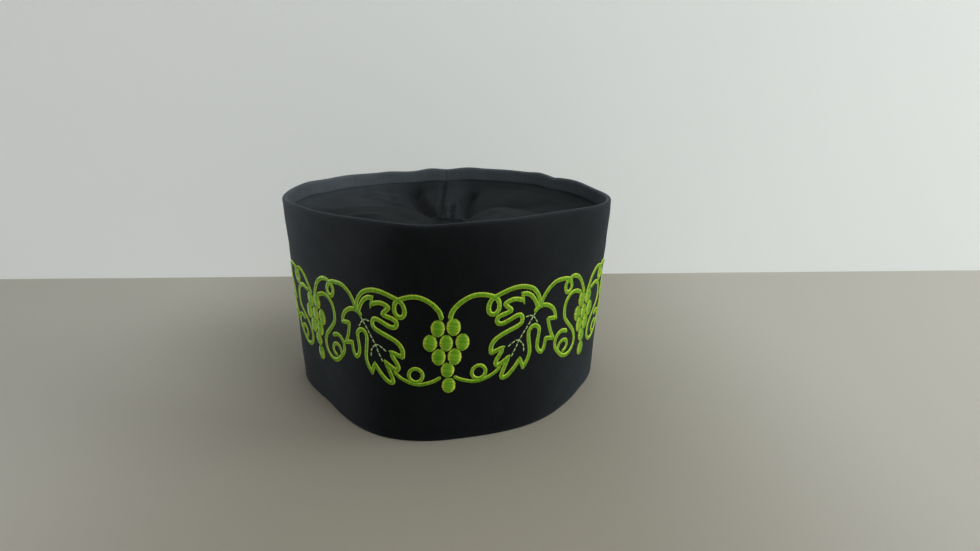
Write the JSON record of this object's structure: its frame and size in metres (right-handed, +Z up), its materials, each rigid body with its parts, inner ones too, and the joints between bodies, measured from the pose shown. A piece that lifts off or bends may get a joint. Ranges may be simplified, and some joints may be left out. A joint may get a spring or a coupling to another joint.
{
  "type": "skufia",
  "caption": "Stiff upright black cotton hat band with a soft tucked crown sunk inside its rim and a green satin-stitch grape vine embroidered all round the band.",
  "frame": {"origin": "middle of the rim's outline, on the plane of the foot that the hat stands on", "axes": "+Z up from foot to rim, -Y to the front grape bunch, +Y to the back seam, +X to the wearer's left"},
  "size_m": [0.2009, 0.1981, 0.1215],
  "materials": {
    "black_cotton": "matte woven cotton",
    "green_thread": "satin embroidery thread"
  },
  "bodies": {
    "root": {"band": "black_cotton", "crown": "black_cotton", "grape_bunch_1": "green_thread", "grape_bunch_2": "green_thread", "grape_bunch_3": "green_thread", "grape_bunch_4": "green_thread", "grape_bunch_5": "green_thread", "grape_bunch_6": "green_thread", "vine_stem_1": "green_thread", "vine_stem_2": "green_thread", "vine_stem_3": "green_thread", "vine_stem_4": "green_thread", "vine_stem_5": "green_thread", "vine_stem_6": "green_thread", "vine_leaf_1": "green_thread", "vine_leaf_2": "green_thread", "vine_leaf_3": "green_thread", "vine_leaf_4": "green_thread", "vine_leaf_5": "green_thread", "vine_leaf_6": "green_thread", "scroll_tendril_1": "green_thread", "scroll_tendril_2": "green_thread", "scroll_tendril_3": "green_thread", "scroll_tendril_4": "green_thread", "scroll_tendril_5": "green_thread", "scroll_tendril_6": "green_thread", "low_tendril_1": "green_thread", "low_tendril_2": "green_thread", "low_tendril_3": "green_thread", "low_tendril_4": "green_thread", "low_tendril_5": "green_thread", "low_tendril_6": "green_thread"}
  },
  "joints": []
}
